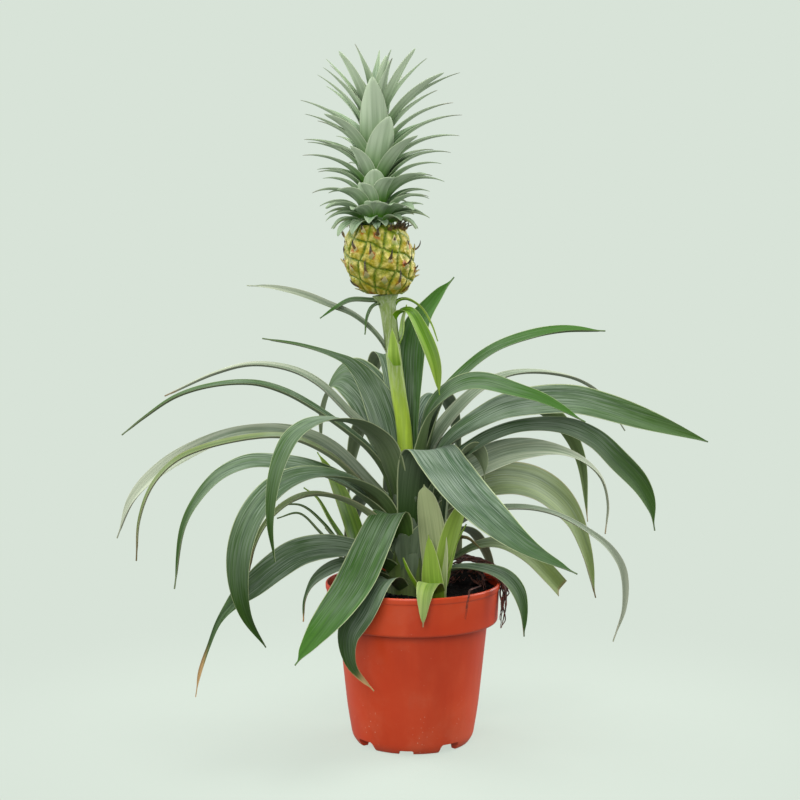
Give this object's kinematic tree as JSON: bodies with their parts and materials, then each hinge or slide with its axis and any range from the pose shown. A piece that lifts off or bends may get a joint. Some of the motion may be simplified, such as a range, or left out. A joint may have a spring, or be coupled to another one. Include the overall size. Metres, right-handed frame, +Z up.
{
  "type": "potted pineapple plant",
  "caption": "Ornamental pineapple plant in a round terracotta-coloured nursery pot: arching strap leaves round a stalk with a small fruit and a tall leafy crown.",
  "frame": {"origin": "middle of the pot's foot ring, on the surface that the pot stands on", "axes": "+Z up along the stalk and the pot's axis, X across the front view to the right, -Y towards the front"},
  "size_m": [0.3736, 0.247, 0.4321],
  "materials": {
    "terracotta_plastic": "satin",
    "potting_soil": "matte",
    "fibrous_roots": "matte",
    "green_stalk": "satin",
    "rosette_leaf": "satin",
    "olive_leaf": "satin",
    "young_leaf": "satin",
    "fruit_skin": "satin",
    "crown_leaf": "matte"
  },
  "bodies": {
    "root": {"pot": "terracotta_plastic", "soil": "potting_soil", "root_strands": "fibrous_roots", "stem": "green_stalk", "shoot_front": "young_leaf", "shoot_left": "young_leaf", "leaf_01": "rosette_leaf", "leaf_02": "rosette_leaf", "leaf_03": "rosette_leaf", "leaf_04": "rosette_leaf", "leaf_05": "rosette_leaf", "leaf_06": "rosette_leaf", "leaf_07": "rosette_leaf", "leaf_08": "rosette_leaf", "leaf_09": "rosette_leaf", "leaf_10": "rosette_leaf", "leaf_11": "rosette_leaf", "leaf_12": "rosette_leaf", "leaf_13": "rosette_leaf", "leaf_14": "rosette_leaf", "leaf_15": "rosette_leaf", "leaf_16": "rosette_leaf", "leaf_17": "olive_leaf", "leaf_18": "rosette_leaf", "leaf_19": "rosette_leaf", "leaf_20": "olive_leaf", "leaf_21": "rosette_leaf", "leaf_22": "rosette_leaf", "leaf_23": "olive_leaf", "leaf_24": "olive_leaf", "leaf_25": "rosette_leaf", "leaf_26": "rosette_leaf", "leaf_27": "rosette_leaf", "leaf_28": "rosette_leaf", "leaf_29": "rosette_leaf", "leaf_30": "rosette_leaf", "leaf_31": "rosette_leaf", "leaf_32": "rosette_leaf", "leaf_33": "rosette_leaf", "leaf_34": "rosette_leaf", "leaf_35": "rosette_leaf", "leaf_36": "rosette_leaf", "leaf_37": "rosette_leaf", "leaf_38": "rosette_leaf", "fruit": "fruit_skin", "crown": "crown_leaf"}
  },
  "joints": []
}
